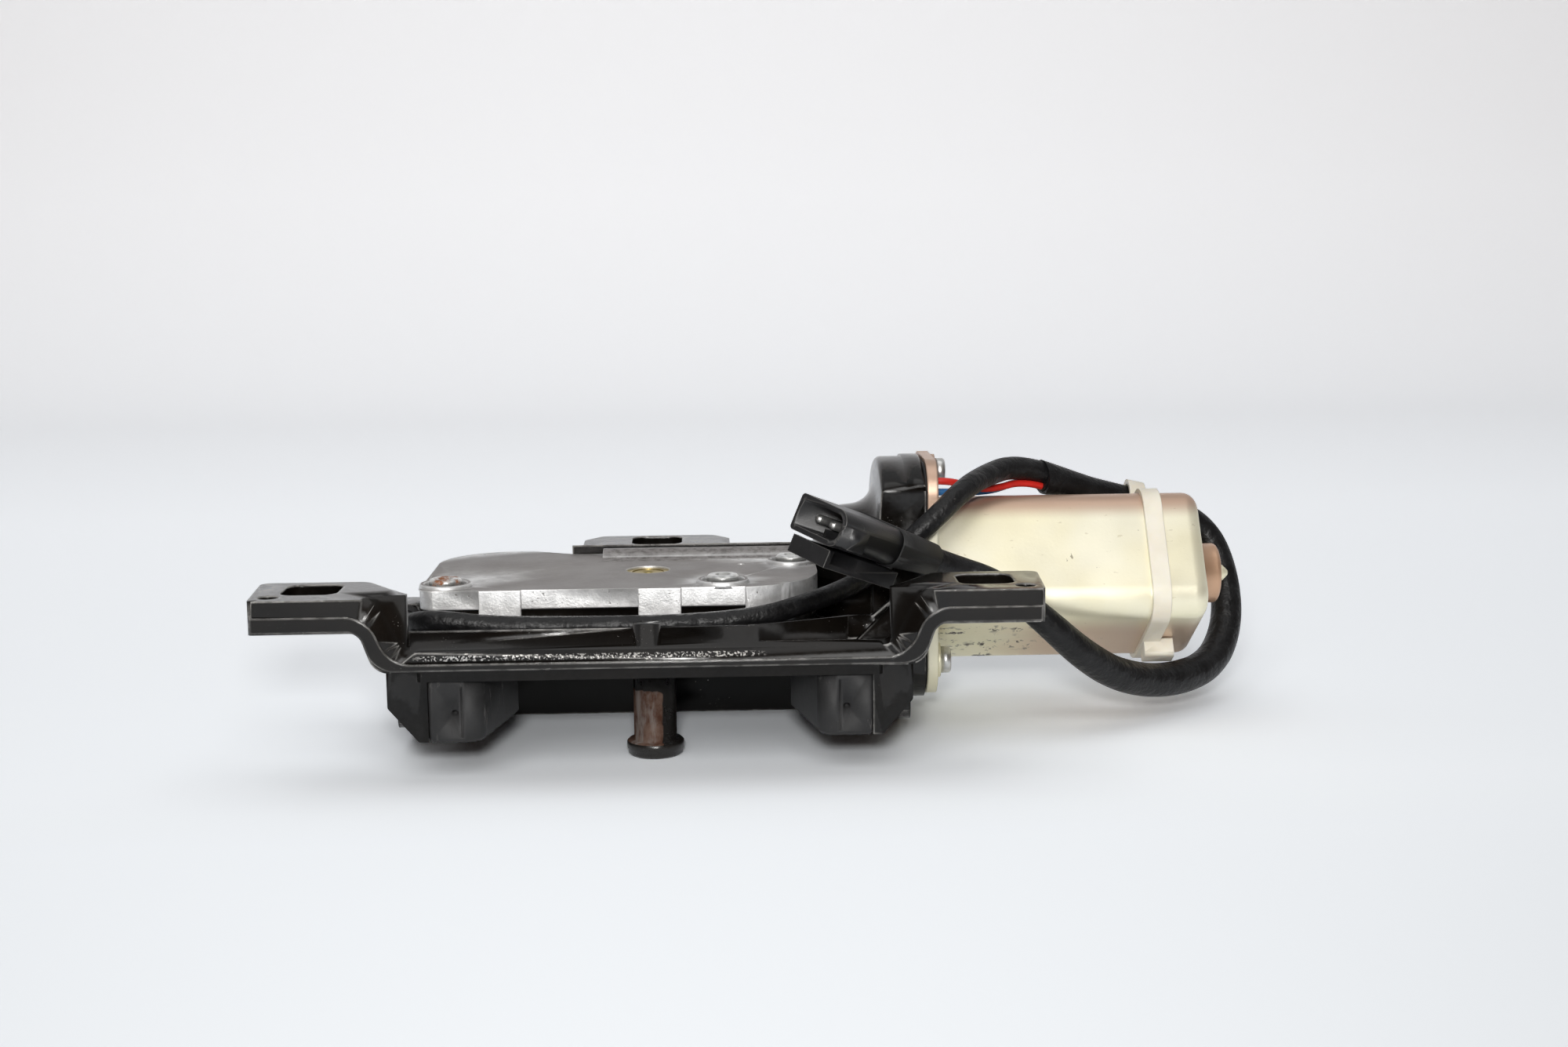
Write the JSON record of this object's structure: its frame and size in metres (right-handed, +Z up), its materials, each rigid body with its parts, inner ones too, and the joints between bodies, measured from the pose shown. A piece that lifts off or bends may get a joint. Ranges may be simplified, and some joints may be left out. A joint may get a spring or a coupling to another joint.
{
  "type": "tailgate soft close motor",
  "caption": "Tailgate soft-close unit: a motor turns a worm wheel in a black cast housing, which pulls the striker pin back between rubber guides; lead with plug.",
  "frame": {"origin": "midpoint of the two locating holes, on the seat face under the ears", "axes": "+X along the ears towards the motor, +Y from the latch side to the back, +Z up away from the seat face"},
  "size_m": [0.255, 0.0936, 0.0705],
  "materials": {
    "housing": "gloss black paint on a casting, worn at the edges",
    "top_cover": "as-cast, satin",
    "cover_gasket": "matte",
    "cover_screws": "bright zinc plate",
    "guide_bumper_right": "matte",
    "guide_bumper_left": "matte",
    "guide_plate": "ground steel",
    "guide_plate_screws": "bright zinc plate",
    "lower_bush": "sintered bronze",
    "thrust_washer": "ground steel",
    "upper_bush": "sintered bronze",
    "worm_end_bush": "sintered bronze",
    "worm_neck_bush": "sintered bronze",
    "motor_seal": "matte",
    "motor_flange": "yellow passivated zinc plate",
    "motor_can": "yellow passivated zinc plate",
    "rear_bearing": "sintered bronze",
    "front_bearing": "sintered bronze",
    "thrust_pin": "ground steel",
    "motor_screws": "bright zinc plate",
    "motor_washers": "yellow passivated zinc plate",
    "motor_magnets": "ferrite",
    "brush_plate": "satin moulded plastic",
    "brushes": "carbon",
    "switch_carrier": "satin moulded plastic",
    "wiper_fingers": "sintered bronze",
    "plug_housing": "satin moulded plastic",
    "plug_pins": "bright zinc plate",
    "plug_latch": "satin moulded plastic",
    "plug_boot": "matte",
    "cable_grommet": "matte",
    "cable_tie": "natural nylon",
    "lead_loop": "soft matte sleeving",
    "branch_lead": "soft matte sleeving",
    "red_wire": "satin insulation",
    "blue_wire": "satin insulation",
    "drive_gear": "greased moulded plastic",
    "contact_disc": "sintered bronze",
    "gear_shaft": "ground steel",
    "spring_washer": "ground steel",
    "slide_carriage": "ground steel",
    "striker_pin": "worn and lightly rusted steel",
    "striker_sleeve": "ground steel",
    "follower_pin": "ground steel",
    "follower_roller": "ground steel",
    "worm": "ground steel",
    "shaft_coupling": "ground steel",
    "motor_shaft": "ground steel",
    "armature_core": "ground steel",
    "armature_winding": "enamelled copper",
    "commutator": "enamelled copper"
  },
  "bodies": {
    "housing": {"housing": "housing", "top_cover": "top_cover", "cover_gasket": "cover_gasket", "cover_screws": "cover_screws", "guide_bumper_right": "guide_bumper_right", "guide_bumper_left": "guide_bumper_left", "guide_plate": "guide_plate", "guide_plate_screws": "guide_plate_screws", "lower_bush": "lower_bush", "thrust_washer": "thrust_washer", "upper_bush": "upper_bush", "worm_end_bush": "worm_end_bush", "worm_neck_bush": "worm_neck_bush", "motor_seal": "motor_seal", "motor_flange": "motor_flange", "motor_can": "motor_can", "rear_bearing": "rear_bearing", "front_bearing": "front_bearing", "thrust_pin": "thrust_pin", "motor_screws": "motor_screws", "motor_washers": "motor_washers", "motor_magnets": "motor_magnets", "brush_plate": "brush_plate", "brushes": "brushes", "switch_carrier": "switch_carrier", "wiper_fingers": "wiper_fingers", "plug_housing": "plug_housing", "plug_pins": "plug_pins", "plug_latch": "plug_latch", "plug_boot": "plug_boot", "cable_grommet": "cable_grommet", "cable_tie": "cable_tie", "lead_loop": "lead_loop", "branch_lead": "branch_lead", "red_wire": "red_wire", "blue_wire": "blue_wire"},
    "drive_gear": {"drive_gear": "drive_gear", "contact_disc": "contact_disc", "gear_shaft": "gear_shaft", "spring_washer": "spring_washer"},
    "striker_slide": {"slide_carriage": "slide_carriage", "striker_pin": "striker_pin", "striker_sleeve": "striker_sleeve", "follower_pin": "follower_pin", "follower_roller": "follower_roller"},
    "motor_rotor": {"worm": "worm", "shaft_coupling": "shaft_coupling", "motor_shaft": "motor_shaft", "armature_core": "armature_core", "armature_winding": "armature_winding", "commutator": "commutator"}
  },
  "joints": [
    {"name": "motor_spin", "type": "hinge", "parent": "housing", "child": "motor_rotor", "pos_m": [0, 0.0651, -0.00135], "axis": [-1, 0, 0], "range_deg": [0, 8640]},
    {"name": "drive_gear_spin", "type": "hinge", "parent": "housing", "child": "drive_gear", "pos_m": [-0.0015, 0.0421, 0], "axis": [0, 0, -1], "range_deg": [0, 254.2]},
    {"name": "striker_slide", "type": "slide", "parent": "housing", "child": "striker_slide", "axis": [0, 1, 0], "range_m": [0, 0.00801]}
  ],
  "couplings": [
    {"joint": "drive_gear_spin", "follows": "motor_spin", "ratio": 0.029412},
    {"joint": "striker_slide", "follows": "motor_spin", "m_per_rad": 0.000053052}
  ]
}
